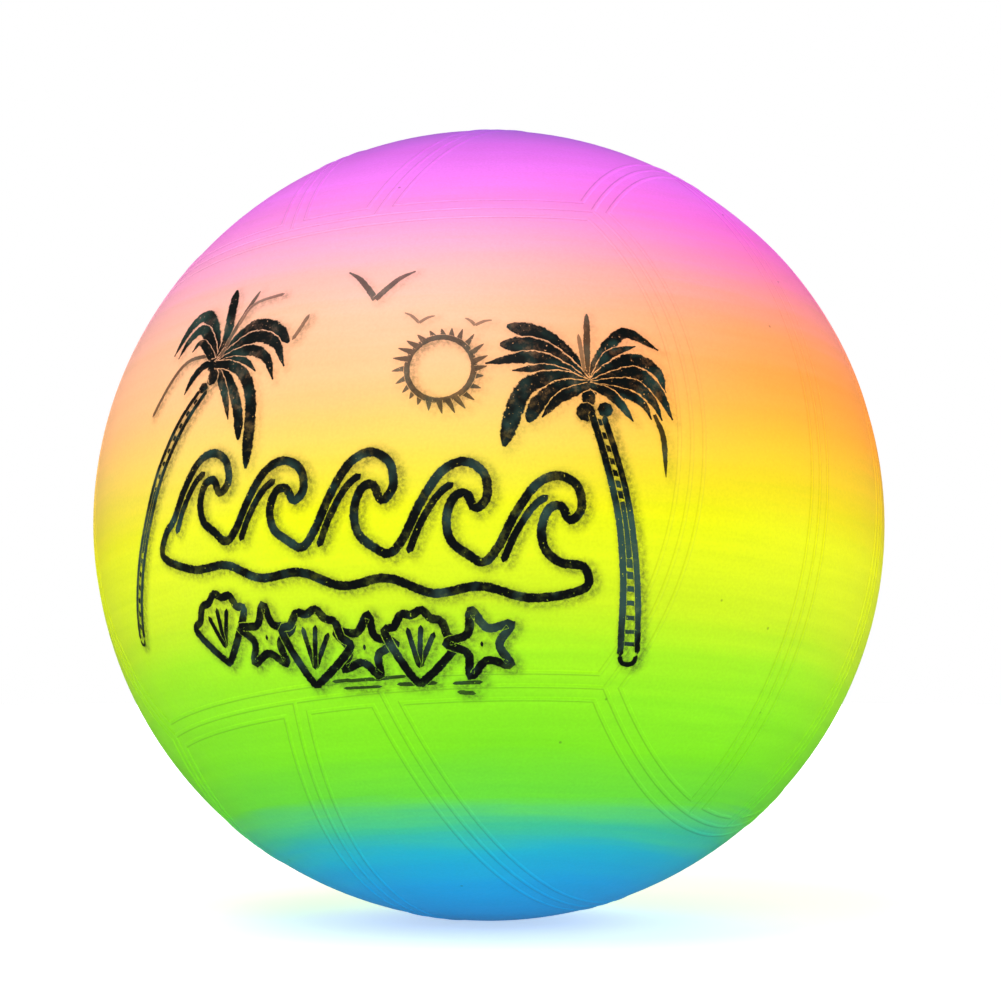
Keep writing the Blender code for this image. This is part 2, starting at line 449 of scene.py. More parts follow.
def right_palm():
    crown = (44, 27)
    leaves = [
        (3.9, [(38, 35), (31, 40.5), (22.0, 42.5)], "blunt"),
        (3.9, [(37, 33), (30, 37), (20.5, 37.0)], "blunt"),
        (3.6, [(37, 31), (29, 33.8), (17, 31.5)]),
        (2.6, [(38, 29.5), (32, 30.8), (24, 29.8)]),
        (4.0, [(37, 28.5), (29, 26.5), (25.5, 21), (22.6, 9.5)], "blunt"),
        (3.6, [(37, 26.0), (32, 22.5), (30, 19.5), (28.6, 16.0)], "blunt"),
        (2.8, [(40, 25), (36, 22.5), (32, 17.5)]),
        (3.4, [(46, 33), (49.5, 39.5), (54, 43.5), (63, 39.5)]),
        (2.6, [(46.5, 31), (49.5, 36.5), (56.5, 39.8)]),
        (3.8, [(49, 31.5), (56, 35.6), (62.5, 33), (65, 27)]),
        (3.6, [(50, 29.6), (57, 31.6), (63, 27), (67, 19.5)]),
        (3.0, [(50, 28), (56.5, 28.2), (61.5, 24), (64, 19)]),
        (2.6, [(49, 26.2), (55, 25.2), (59, 22.8), (61, 19)]),
        (2.6, [(49, 25.4), (52.5, 22.5), (56, 18)]),
    ]
    sides = (
        ([(44.6, 20), (48.4, 8), (51.3, -3), (52.9, -12), (53.9, -26), (53.4, -45)], 2.1),
        ([(48.0, 19), (51.7, 8), (54.5, -2), (56.3, -12), (57.8, -26), (58.2, -44.5)], 1.9),
        ([(53.2, -44.4), (53.9, -46.8), (56.7, -47.2), (58.2, -44.8)], 1.6),
    )
    # the rings of its bark: thick and close above and below a bare middle, thinner near the ground
    rings = (
        (46.2, 17.2, 1.9), (47.7, 13.6, 1.9), (49.0, 10.2, 1.9), (50.2, 6.9, 1.9), (51.1, 3.8, 1.9),
        (52.0, 0.9, 2.0), (52.8, -1.9, 2.2), (55.4, -19.8, 2.8), (55.7, -23.0, 2.3), (55.9, -26.6, 1.8),
        (56.0, -30.4, 1.5), (56.0, -34.4, 1.4), (56.0, -38.2, 1.3), (55.9, -41.6, 1.3),
    )
    trunk = [Stroke([(53.2, -3.6), (54.6, -11), (55.3, -18.5)], 4.8, layer=1, thin=0.9)]
    for x, y, width in rings:
        trunk.append(Stroke([(x - 2.3, y + 0.2), (x + 2.3, y - 0.2)], width, layer=0, thin=0.9))
    trunk += [Stroke(points, width, layer=TOP_FILM, thin=0.9) for points, width in sides]
    strokes = palm_tree(crown, leaves, trunk, [((43.3, 19.6), 2.7), ((48.4, 20.6), 2.2)])
    strokes += [
        Stroke([(43.4, 28), (43.2, 38), (42.9, 48)], 2.2, blunt_leaf, cover=0.9),
        Stroke([(42.6, 31), (41.8, 36), (40.8, 41.5)], 1.4, blunt_leaf, cover=0.7),
        Stroke([(61.8, 20.5), (64.4, 14), (65.2, 3.5)], 2.1, leaf, cover=0.95),
    ]
    return strokes


def left_palm():
    crown = (-62, 36)
    leaves = [
        (4.0, [(-64.5, 46), (-70, 53.5), (-76, 51.5), (-81.5, 42.5)]),
        (3.4, [(-65.5, 43.5), (-70.5, 49), (-75.5, 46.5), (-79, 41)]),
        (2.6, [(-66, 41), (-70, 44.5), (-73, 42)]),
        (3.0, [(-59.6, 43), (-59.8, 51), (-60.5, 60.5)], "blunt"),
        (3.6, [(-57, 41), (-50, 46), (-43, 44.5), (-37.5, 39.5)], "blunt"),
        (3.6, [(-56.5, 39.4), (-49, 42.6), (-42, 40), (-38, 32.5)]),
        (3.2, [(-56, 37.8), (-49.5, 38.6), (-44, 35.5), (-41, 29)]),
        (2.2, [(-56.5, 36.4), (-51, 35.5), (-47, 32)]),
        (3.2, [(-56.5, 35), (-50.5, 31), (-47.2, 22), (-47.4, 5)], "blunt"),
        (2.8, [(-58, 33), (-53.8, 27), (-51.2, 20), (-50.4, 13)], "blunt"),
        (2.4, [(-59.5, 32), (-56.5, 26), (-54.5, 19)]),
        (2.4, [(-66, 36.5), (-70, 33.5), (-73, 28.5)]),
    ]
    far = [(-66.4, 29), (-73.8, 20), (-81.2, 7), (-86.4, -6), (-91.6, -20), (-95.6, -34), (-97, -43)]
    near = [(-63.6, 28.5), (-71.2, 19), (-78.6, 6.5), (-84, -6.5), (-88.9, -20), (-92.7, -33), (-94.4, -42.6)]
    foot = [(-97, -43), (-96.4, -44.6), (-94.8, -44.6), (-94.3, -42.6)]
    # the ladder of bark rings
    rings = (
        (-67.6, 25.5), (-70, 22.2), (-72.3, 18.9), (-74.5, 15.5), (-76.4, 12), (-78.2, 8.4), (-79.9, 4.8),
        (-81.5, 1.2), (-89.6, -19), (-91, -23), (-92.2, -27), (-93.4, -31), (-94.4, -35), (-95.2, -39),
    )
    trunk = [Stroke([(-82.0, 1.5), (-85.9, -8), (-89.2, -16.5)], 2.4, layer=1, thin=0.6)]
    trunk += [Stroke([(x - 1.2, y + 1.0), (x + 1.2, y - 0.8)], 1.7, layer=0) for x, y in rings]
    for side, width in ((far, 1.5), (near, 1.6), (foot, 1.0)):
        trunk.append(Stroke(side, width, layer=TOP_FILM, thin=0.6))
    strokes = palm_tree(crown, leaves, trunk, [((-62.4, 31.6), 1.9), ((-65.2, 29.4), 1.8)])
    strokes += [
        Stroke([(-60.5, 38), (-57, 46), (-51, 58)], 1.7, blunt_leaf, cover=0.85),
        Stroke([(-56, 47), (-52, 53.5), (-42, 55.5)], 1.1, pen, cover=0.65),
        Stroke([(-65, 39.5), (-74, 39), (-80, 34), (-87, 24)], 1.4, pen, cover=0.8),
        Stroke([(-36.6, 40), (-34.6, 43.5), (-32.6, 47.5)], 1.3, pen, cover=0.7),
    ]
    return strokes


def sun():
    """A ring with pointed rays that lean a little."""
    strokes = []
    centre, disc = Vector((5.5, 30)), 8.7
    strokes.append(Stroke(ring(centre, disc, 24), 1.7, closed=True, cover=0.86))
    for k in range(SUN_RAYS):
        a = math.tau * k / SUN_RAYS + 0.03 * math.sin(5.0 * k)
        far = disc + 3.3 + 0.9 * math.sin(7.0 * k)
        root = centre + Vector((math.cos(a), math.sin(a))) * (disc + 0.2)
        tip = centre + Vector((math.cos(a + 0.07), math.sin(a + 0.07))) * far
        strokes.append(Stroke([root, root.lerp(tip, 0.5), tip], 1.9, needle, cover=0.86))
    return strokes


def bird(left, middle, right, width, cover):
    strokes = []
    middle = Vector(middle)
    for tip in (left, right):
        tip = Vector(tip)
        elbow = middle.lerp(tip, 0.55) + Vector((0, (tip - middle).length * 0.09))
        strokes.append(Stroke([middle, elbow, tip], width, wing, cover=cover))
    return strokes


# One breaking wave in a unit square, from the trough before it to the trough after it
WAVE = [
    (0.00, 0.14), (0.14, 0.30), (0.28, 0.62), (0.46, 0.90), (0.68, 1.00), (0.90, 0.90), (0.97, 0.68),
    (0.86, 0.56), (0.75, 0.70), (0.62, 0.66), (0.57, 0.46), (0.64, 0.26), (0.82, 0.14),
]
WAVE_FOAM = [(0.20, 0.14), (0.30, 0.42), (0.45, 0.68), (0.60, 0.80)]


def waves():
    """The upper row: surf of five joined breaking waves in outline."""
    corners = ((-77.5, -15), (-54, -17.5), (-30.5, -20), (-6.5, -21.5), (17.5, -23.5))
    sizes = ((23.5, 25), (23.5, 24), (24, 28), (24, 27), (24, 26))
    top, strokes = [], []
    for corner, size in zip(corners, sizes):
        top += placed(WAVE, corner, size, 0.10)
        strokes.append(Stroke(placed(WAVE_FOAM, corner, size, 0.10), 2.2))
    top.append((43.5, -21))
    foot = [
        (43.5, -26.5), (30, -29), (17, -26), (5, -27.8), (-7, -24), (-19, -26), (-31, -22.5), (-43, -24),
        (-54, -20.5), (-66, -21.6), (-78.5, -18),
    ]
    return [Stroke([*top, *foot], 2.7, closed=True)] + strokes


def starfish(centre, radius, turn):
    points = []
    for k in range(10):
        a = math.tau * k / 10 + turn
        far = radius * (0.48 if k % 2 else 1.0)
        points.append((centre[0] + far * math.cos(a), centre[1] + far * math.sin(a)))
    eye = [(centre[0] - 0.4, centre[1]), (centre[0] + 0.4, centre[1])]
    return [Stroke(points, 2.6, closed=True), Stroke(eye, 2.4)]


def scallop(foot, high, lean):
    """A fan shell with three ribs."""
    fan = []
    for k in range(9):
        a = math.radians(-56 + 14 * k) + lean
        far = high * (1.0 if k % 2 == 0 else 0.93)
        fan.append((foot[0] - far * math.sin(a) * 0.62, foot[1] + far * math.cos(a)))
    outline = [(foot[0] + 1.6, foot[1] - 0.4), *fan, (foot[0] - 1.6, foot[1] - 0.4)]
    strokes = [Stroke(outline, 2.6, closed=True)]
    far = high * 0.78
    for a in (-0.42, 0.0, 0.42):
        tip = (foot[0] - far * math.sin(a + lean) * 0.62, foot[1] + far * math.cos(a + lean))
        strokes.append(Stroke([(foot[0], foot[1] + 2.6), tip], THIN_LINE_MM))
    return strokes


def shells():
    """The lower row: shells and starfish in turn."""
    strokes = scallop((-57, -46), 18, 0.2) + starfish((-42.5, -40), 9.0, 0.35)
    strokes += scallop((-28.5, -51), 19, -0.12) + starfish((-14, -42), 8.8, 1.4)
    strokes += scallop((0.5, -50), 18, -0.1) + starfish((17, -41), 9.4, 0.6)
    return strokes


def sand():
    """Dashes where the stamp caught the tops of the beads."""
    lines = (
        ([(-24, -51.5), (-12, -50.6), (-3, -49.6)], 1.1),
        ([(-21, -53.4), (-10, -52.6)], 0.9),
        ([(-6, -52.0), (5, -51.4)], 1.2),
        ([(9, -51.6), (17, -51.2)], 1.2),
        ([(10, -54), (15, -54.4)], 1.3),
    )
    return [Stroke(points, width, cover=0.9) for points, width in lines]


def picture():
    strokes = left_palm() + right_palm() + sun() + waves() + shells() + sand()
    strokes += bird((-22.8, 60), (-13.8, 50.6), (-3.8, 59.2), 2.0, 0.85)
    strokes += bird((-5.2, 46), (-1, 43), (3, 45), 1.0, 0.65)
    strokes += bird((11, 44.4), (13.8, 42.4), (18, 44), 1.0, 0.65)
    return strokes


STROKES = picture()


def mist_field():
    """A tree of points along the strokes, moved the way the ink drifted, with each one's half width."""
    samples = []
    for stroke in STROKES:
        last = len(stroke.path) - 1
        for i, point in enumerate(stroke.path):
            samples.append((point + MIST_DRIFT_MM, stroke.width_at(i / last) / 2, stroke.mist))
    tree = kdtree.KDTree(len(samples))
    for i, (point, _, _) in enumerate(samples):
        tree.insert((point.x, point.y, 0), i)
    tree.balance()
    return tree, samples


MIST_TREE, MIST_SAMPLES = mist_field()


def mist_at(x, y):
    """How much stray ink lies here, from 0 to 1."""
    most = 0.0
    for _, i, distance in MIST_TREE.find_n((x, y, 0), 6):
        outside = max(0.0, distance - MIST_SAMPLES[i][1])
        most = max(most, MIST_SAMPLES[i][2] * max(0.0, 1 - outside / MIST_REACH_MM) ** 2)
    return most


# ---- meshes


def finish_mesh(bm, name, material, angle):
    """A smooth-shaded object at the origin, from a mesh that is already in place."""
    mesh = bpy.data.meshes.new(name)
    bm.to_mesh(mesh)
    bm.free()
    mesh.shade_smooth()
    mesh.set_sharp_from_angle(angle=math.radians(angle))
    mesh.materials.append(material)
    obj = bpy.data.objects.new(name, mesh)
    bpy.context.scene.collection.objects.link(obj)
    return obj


def cut_off(bm, geom, level):
    """Cuts off what lies past this level towards the valve, and returns the edges and corners of the cut."""
    cut = bmesh.ops.bisect_plane(
        bm, geom=geom, dist=SNAP, plane_co=VALVE_FACE * level, plane_no=VALVE_FACE, clear_outer=True
    )
    return cut["geom_cut"]


def set_rim(rim, level, radius):
    """Makes the rim of the valve's hole a true circle of this radius."""
    for vert in {vert for edge in rim for vert in edge.verts}:
        sideways = vert.co - VALVE_FACE * vert.co.dot(VALVE_FACE)
        vert.co = VALVE_FACE * level + sideways.normalized() * radius


def in_picture(place):
    return abs(place[0]) < PICTURE_REACH_MM[0] and abs(place[1]) < PICTURE_REACH_MM[1]


def make_skin(material):
    bm = bmesh.new()
    mist = bm.verts.layers.float.new("ink_mist")
    # A layer of painted shade and painted highlight along the beads
    bead_shade = bm.verts.layers.float.new("bead_shade_and_highlight")
    bmesh.ops.create_icosphere(bm, subdivisions=SKIN_FINENESS, radius=BALL_RADIUS)

    # smaller faces where stray ink needs them
    for _ in range(INK_REFINEMENTS):
        bm.faces.ensure_lookup_table()
        centres = np.array([face.calc_center_median() for face in bm.faces])
        centres /= np.linalg.norm(centres, axis=1)[:, None]
        places = picture_place(centres)
        near = [bm.faces[i] for i, place in enumerate(places) if in_picture(place) and near_ink(*place)]
        edges = list({edge for face in near for edge in face.edges})
        bmesh.ops.subdivide_edges(bm, edges=edges, cuts=1, use_grid_fill=True)
        for vert in bm.verts:
            vert.co = vert.co.normalized() * BALL_RADIUS

    # the hole for the valve
    hole_level = math.sqrt(BALL_RADIUS**2 - WALL_HOLE_RADIUS**2)
    cut_off(bm, bm.verts[:] + bm.edges[:] + bm.faces[:], hole_level)
    for seam in SEAMS:
        cut_along(bm, seam)
    bm.verts.ensure_lookup_table()
    directions = directions_of(bm.verts)
    heights = bead_height(directions)
    bead_shades = bead_shade_and_highlight(directions)
    places = picture_place(directions)
    for i, vert in enumerate(bm.verts):
        vert.co = Vector(directions[i]) * (BALL_RADIUS + heights[i])
        vert[bead_shade] = bead_shades[i]
        if in_picture(places[i]):
            vert[mist] = mist_at(*places[i])
    rim = [edge for edge in bm.edges if edge.is_boundary]
    set_rim(rim, hole_level, WALL_HOLE_RADIUS)

    # the wall turns in at the hole with a soft lip
    for drop, inset in HOLE_LIP:
        made = bmesh.ops.extrude_edge_only(bm, edges=rim)["geom"]
        rim = [edge for edge in made if isinstance(edge, bmesh.types.BMEdge) and edge.is_boundary]
        set_rim(rim, hole_level - drop, WALL_HOLE_RADIUS - inset)

    # the lining, cut open at the same place and joined to the outside
    lining = bmesh.ops.create_icosphere(bm, subdivisions=LINING_FINENESS, radius=BALL_RADIUS - WALL)["verts"]
    faces = list({face for vert in lining for face in vert.link_faces})
    bmesh.ops.reverse_faces(bm, faces=faces)
    edges = list({edge for face in faces for edge in face.edges})
    lining_level = math.sqrt((BALL_RADIUS - WALL) ** 2 - WALL_HOLE_RADIUS**2)
    cut = cut_off(bm, lining + edges + faces, lining_level)
    inner_rim = [edge for edge in cut if isinstance(edge, bmesh.types.BMEdge)]
    bmesh.ops.bridge_loops(bm, edges=rim + inner_rim)
    bmesh.ops.transform(bm, matrix=MOULD.to_4x4(), verts=bm.verts[:])
    return finish_mesh(bm, "sprayed_ball", material, SHARP_ON_SKIN)


def near_ink(x, y):
    """Whether a stroke or its mist comes near enough to need small faces in the wall."""
    _, i, distance = MIST_TREE.find((x, y, 0))
    return distance - MIST_SAMPLES[i][1] < MIST_REACH_MM + MIST_MARGIN_MM


def worn(y):
    """How thin a trunk's ink is at this height in the picture: thinnest in its lower half, above its foot."""
    return max(0.0, min(1.0, (-2 - y) / 5)) * max(0.0, min(1.0, (y + 40) / 8))


def make_ink(material):
    """The stamped picture: thin films of ink that follow the ball and its beads."""
    bm = bmesh.new()
    names = ("across", "cover", "ink_mist", "lift", "thin_film")
    across, cover, mist, lift, film = (bm.verts.layers.float.new(name) for name in names)
    for number, stroke in enumerate(STROKES):
        cells = 2 if stroke.width < THIN_LINE_MM else 4
        grid = bmesh.ops.create_grid(bm, x_segments=len(stroke.path) - 1, y_segments=cells, size=1.0)["verts"]
        for vert in grid:
            u, v = (vert.co.x + 1) / 2, vert.co.y
            place = stroke.place(u, v)
            vert[across] = v
            vert[cover] = stroke.cover
            vert[mist] = mist_at(*place)
            layer = FIRST_FILM + number % FILMS_IN_TURN if stroke.layer is None else stroke.layer
            vert[lift] = FILM_STEP * layer
            vert[film] = stroke.thin * worn(place[1])
            vert.co = onto_ball(*place)
        if stroke.closed:
            bmesh.ops.remove_doubles(bm, verts=grid, dist=0.00002)
    for seam in SEAMS:
        cut_along(bm, seam)
    bmesh.ops.recalc_face_normals(bm, faces=bm.faces[:])
    inward = [face for face in bm.faces if face.normal.dot(face.calc_center_median()) < 0]
    bmesh.ops.reverse_faces(bm, faces=inward)
    directions = directions_of(bm.verts)
    heights = bead_height(directions)
    for i, vert in enumerate(bm.verts):
        vert.co = Vector(directions[i]) * (BALL_RADIUS + heights[i] + INK_THICKNESS + vert[lift])
    bmesh.ops.solidify(bm, geom=bm.faces[:], thickness=INK_THICKNESS * 0.8)
    bmesh.ops.transform(bm, matrix=MOULD.to_4x4(), verts=bm.verts[:])
    return finish_mesh(bm, "stamped_picture", material, SHARP_ON_SKIN)


VALVE_FRAME = (MOULD @ VALVE_FACE.to_track_quat("Z", "Y").to_matrix()).to_4x4()


def turned(profile, closed):
    """An outline of (radius, height) points spun round Z."""
    bm = bmesh.new()
    verts = [bm.verts.new((radius, 0, height)) for radius, height in profile]
    pairs = list(zip(verts, verts[1:])) + ([(verts[-1], verts[0])] if closed else [])
    edges = [bm.edges.new(pair) for pair in pairs]
    outline = verts + edges
    bmesh.ops.spin(bm, geom=outline, axis=(0, 0, 1), angle=math.tau, steps=TURNED_STEPS, use_merge=True)
    if not closed:
        bmesh.ops.holes_fill(bm, edges=bm.edges[:], sides=TURNED_STEPS)
    bmesh.ops.recalc_face_normals(bm, faces=bm.faces[:])
    return bm


def soften(bm, width, steepest=30):
    limit = math.radians(steepest)
    sharp = [edge for edge in bm.edges if len(edge.link_faces) == 2 and edge.calc_face_angle() > limit]
    bmesh.ops.bevel(
        bm, geom=sharp, affect="EDGES", offset=width, segments=3, profile=0.5, material=-1, clamp_overlap=True
    )


def make_valve_seat(material):
    """A soft seat, outlined from the recess's edge over the face, down the flange and neck, and up the hole."""
    bottom = FLANGE_TOP - FLANGE_THICKNESS
    floor = SEAT_FACE - RECESS_DEPTH
    bm = turned(
        [
            (RECESS_RADIUS, SEAT_FACE - 0.0001),
            (RECESS_RADIUS + 0.0009, SEAT_FACE - 0.0001),
            (RECESS_RADIUS + 0.0011, SEAT_FACE),
            (SEAT_FACE_RADIUS - 0.0008, SEAT_FACE),
            (SEAT_FACE_RADIUS, SEAT_FACE - 0.0002),
            (SEAT_FACE_RADIUS, FLANGE_TOP),
            (FLANGE_RADIUS, FLANGE_TOP),
            (FLANGE_RADIUS, bottom),
            (NECK_RADIUS, bottom),
            (NECK_RADIUS - NECK_TAPER, bottom - NECK_LENGTH),
            (NEEDLE_HOLE_RADIUS, bottom - NECK_LENGTH),
            (NEEDLE_HOLE_RADIUS, floor),
            (RECESS_RADIUS, floor),
        ],
        closed=True,
    )
    # a notch in the recess for a fingernail
    for vert in bm.verts:
        radius = math.hypot(vert.co.x, vert.co.y)
        if vert.co.z >= floor - 1e-6 and abs(radius - RECESS_RADIUS) < 1e-5:
            turn = abs(math.atan2(vert.co.y, vert.co.x))
            push = NAIL_NOTCH_DEPTH * max(0.0, math.cos(min(math.pi / 2, turn * 3.4))) ** 1.2
            if vert.co.z > SEAT_FACE - 0.0005:
                push = min(push, NAIL_NOTCH_DEPTH_AT_FACE)
            vert.co.x *= (radius + push) / radius
            vert.co.y *= (radius + push) / radius
    soften(bm, 0.00018)
    bmesh.ops.transform(bm, matrix=VALVE_FRAME, verts=bm.verts[:])
    return finish_mesh(bm, "soft_valve_seat", material, SHARP_ON_VALVE)


def make_valve_plug(material):
    """A stopper with a dished head, and three ribs that hold its stem."""
    head = SEAT_FACE - RECESS_DEPTH + PLUG_SEATED_GAP
    top = head + PLUG_HEAD_THICKNESS
    tip = head - PLUG_STEM_LENGTH
    outline = [
        (0.0008, top - 0.00028),
        (0.0014, top - 0.00012),
        (0.0022, top),
        (PLUG_HEAD_RADIUS - 0.0003, top - 0.00004),
        (PLUG_HEAD_RADIUS, top - 0.0003),
        (PLUG_HEAD_RADIUS, head + 0.0001),
        (PLUG_HEAD_RADIUS - 0.0001, head),
        (PLUG_STEM_RADIUS, head),
    ]
    for rib in PLUG_RIBS_BELOW_HEAD:
        outline += [
            (PLUG_STEM_RADIUS, head - rib + PLUG_RIB_HALF_LENGTH),
            (PLUG_STEM_RADIUS + PLUG_RIB, head - rib),
            (PLUG_STEM_RADIUS, head - rib - PLUG_RIB_HALF_LENGTH),
        ]
    outline += [
        (PLUG_STEM_RADIUS, tip + PLUG_TIP_LENGTH),
        (PLUG_TIP_RADIUS, tip + 0.0002),
        (PLUG_TIP_RADIUS - 0.0003, tip),
    ]
    bm = turned(outline, closed=False)
    soften(bm, 0.00008, 50)
    bmesh.ops.transform(bm, matrix=VALVE_FRAME, verts=bm.verts[:])
    return finish_mesh(bm, "pull_out_plug", material, SHARP_ON_VALVE)


# ---- materials


def linear(code):
    """An sRGB hex colour, such as 1a2b3c, as linear RGBA."""
    channels = [int(code[i : i + 2], 16) / 255 for i in (0, 2, 4)]
    return (*[c / 12.92 if c <= 0.04045 else ((c + 0.055) / 1.055) ** 2.4 for c in channels], 1.0)


def add(tree, kind, inputs=None, **settings):
    """Adds one shader node. Each of its inputs gets a socket that feeds it or a fixed value."""
    node = tree.nodes.new("ShaderNode" + kind)
    for name, value in settings.items():
        setattr(node, name, value)
    for name, given in (inputs or {}).items():
        if isinstance(given, bpy.types.NodeSocket):
            tree.links.new(given, node.inputs[name])
        else:
            node.inputs[name].default_value = given
    return node


def fill_ramp(ramp_node, stops):
    ramp = ramp_node.color_ramp
    while len(ramp.elements) > 1:
        ramp.elements.remove(ramp.elements[-1])
    ramp.elements[0].position, ramp.elements[0].color = stops[0]
    for position, colour in stops[1:]:
        ramp.elements.new(position).color = colour


# Fluorescent sprays, from the foot of the ball to its top. They blend where one is sprayed over the next.
SPRAYED_BANDS = (
    (-1.00, "009cd8"), (-0.93, "009cd6"), (-0.87, "0aa6c4"), (-0.82, "34b48c"), (-0.75, "60ca2a"),
    (-0.65, "72d200"), (-0.55, "82d800"), (-0.45, "9adc00"), (-0.35, "bcdc00"), (-0.25, "cee000"),
    (-0.15, "dce200"), (-0.05, "e2d00c"), (0.05, "eec026"), (0.15, "feaa34"), (0.25, "fe9e42"),
    (0.35, "fe9a5c"), (0.45, "fc928a"), (0.55, "fd7aba"), (0.65, "fd68de"), (0.75, "fb6afa"),
    (0.86, "e466f4"), (0.95, "b45cea"), (1.00, "9a52e2"),
)

# A painted highlight: how far the paint is mixed towards near-white, by height along the bands' axis
PAINTED_HIGHLIGHT_BY_HEIGHT = (
    (-0.12, 0.0), (-0.02, 0.05), (0.08, 0.12), (0.20, 0.21), (0.35, 0.26), (0.55, 0.24), (0.70, 0.11),
    (0.85, 0.03),
)
# The side towards which the painted highlight lies
PAINTED_HIGHLIGHT_SIDE = Vector((math.cos(VIEW_AZIMUTH), math.sin(VIEW_AZIMUTH), 0))
# How far streaks and wander shift the bands, as a share of the ball's height
BAND_UNEVENNESS = 0.030

# Both the sprayed paint and the ink shine less than bare PVC
PAINT_IOR = 1.50
PAINT_SHINE = 0.25
PVC_IOR = 1.53
PEEL_ON_PAINT = 0.25
PEEL_ON_BARE_PVC = 0.2


def principled(name):
    material = bpy.data.materials.new(name)
    material.use_nodes = True
    tree = material.node_tree
    return material, tree, tree.nodes["Principled BSDF"]


def sprayed_colour(tree):
    """The rainbow of sprayed bands, with streaks, grain, dust and stray ink, a painted highlight over the upper
    left, and painted shade and highlight along the beads. Returns its colour socket.
    """
    place = add(tree, "TexCoord").outputs["Object"]
    turn = BAND_AXIS.rotation_difference(Vector((0, 0, 1))).to_euler()
    banded = add(tree, "Mapping", {"Vector": place, "Rotation": turn}).outputs["Vector"]
    height = add(tree, "SeparateXYZ", {"Vector": banded}).outputs["Z"]

    # The ball turned under the gun, so streaks run along the bands: about 60 mm long and 3 mm high
    stretched = add(tree, "Mapping", {"Vector": banded, "Scale": (16, 16, 330)}).outputs["Vector"]
    streaks = add(
        tree, "TexNoise", {"Vector": stretched, "Scale": 1.0, "Detail": 4.0, "Roughness": 0.6}
    ).outputs["Fac"]
    # Slow wander of the bands, 60 mm across
    wander = add(tree, "TexNoise", {"Vector": banded, "Scale": 16.0}).outputs["Fac"]
    level = add(
        tree,
        "MapRange",
        {"Value": height, "From Min": -BALL_RADIUS, "From Max": BALL_RADIUS},
        clamp=False,
    ).outputs["Result"]
    shifted = level
    for unevenness in (streaks, wander):
        shifted = add(
            tree, "Math", {0: unevenness, 1: BAND_UNEVENNESS, 2: shifted}, operation="MULTIPLY_ADD"
        ).outputs["Value"]
    centred = add(tree, "Math", {0: shifted, 1: BAND_UNEVENNESS}, operation="SUBTRACT").outputs["Value"]
    rainbow = add(tree, "ValToRGB", {"Fac": centred})
    fill_ramp(rainbow, [((level + 1) / 2, linear(code)) for level, code in SPRAYED_BANDS])

    # A painted highlight: the paint is mixed towards near-white over the upper left of the picture side, where
    # the key light falls
    side = add(tree, "VectorMath", {0: place, 1: PAINTED_HIGHLIGHT_SIDE}, operation="DOT_PRODUCT").outputs["Value"]
    front = add(tree, "VectorMath", {0: place, 1: PICTURE_CENTRE}, operation="DOT_PRODUCT").outputs["Value"]
    sideways = add(
        tree,
        "MapRange",
        {
            "Value": side,
            "From Min": -0.1 * BALL_RADIUS,
            "From Max": 0.78 * BALL_RADIUS,
            "To Min": 1.0,
            "To Max": 0.0,
        },
        interpolation_type="SMOOTHSTEP",
    ).outputs["Result"]
    forwards = add(
        tree,
        "MapRange",
        {"Value": front, "From Min": -0.5 * BALL_RADIUS, "From Max": 0.1 * BALL_RADIUS, "To Min": 0.3},
        interpolation_type="SMOOTHSTEP",
    ).outputs["Result"]
    highlight_by_height = add(tree, "ValToRGB", {"Fac": level})
    fill_ramp(highlight_by_height, [((at + 1) / 2, (share, share, share, 1.0)) for at, share in PAINTED_HIGHLIGHT_BY_HEIGHT])
    highlight_here = sideways
    for share in (forwards, highlight_by_height.outputs["Color"]):
        highlight_here = add(tree, "Math", {0: highlight_here, 1: share}, operation="MULTIPLY").outputs["Value"]
    colour = add(
        tree, "Mix", {0: highlight_here, 6: rainbow.outputs["Color"], 7: linear("fffaf2")}, data_type="RGBA"
    ).outputs[2]

    # The grain of the spray's droplets, 0.7 mm
    droplets = add(tree, "TexNoise", {"Vector": place, "Scale": 1400.0}).outputs["Fac"]
    streaky = add(tree, "Math", {0: droplets, 1: streaks}, operation="ADD").outputs["Value"]
    tone = add(
        tree, "MapRange", {"Value": streaky, "From Min": 0.6, "From Max": 1.4, "To Min": 0.90, "To Max": 1.03}
    ).outputs["Result"]
    toned = add(tree, "VectorMath", {0: colour, "Scale": tone}, operation="SCALE").outputs["Vector"]

    # Dust specks caught in the paint: a few, under half a millimetre
    cells = add(tree, "TexVoronoi", {"Vector": place, "Scale": 170.0})
    chance = add(tree, "SeparateColor", {"Color": cells.outputs["Color"]}).outputs["Red"]
    lone = add(tree, "Math", {0: chance, 1: 0.10}, operation="LESS_THAN").outputs["Value"]
    away = cells.outputs["Distance"]
    speck = add(
        tree, "MapRange", {"Value": away, "From Min": 0.05, "From Max": 0.085, "To Min": 0.55, "To Max": 0.0}
    ).outputs["Result"]
    speckled = add(tree, "Math", {0: speck, 1: lone}, operation="MULTIPLY").outputs["Value"]
    dusted_with_painted_light = add(
        tree, "Mix", {0: speckled, 6: toned, 7: linear("6f8c5a")}, data_type="RGBA", blend_type="MULTIPLY"
    ).outputs[2]

    # Painted shade at the foot of each bead on its side away from the light, and a painted highlight at its
    # other foot
    bead_shade = add(tree, "Attribute", attribute_name="bead_shade_and_highlight").outputs["Fac"]
    bead_shaded = add(
        tree, "MapRange", {"Value": bead_shade, "To Min": 1.0, "To Max": 0.68}, clamp=False
    ).outputs["Result"]
    dusted_with_painted_light = add(tree, "VectorMath", {0: dusted_with_painted_light, "Scale": bead_shaded}, operation="SCALE").outputs["Vector"]

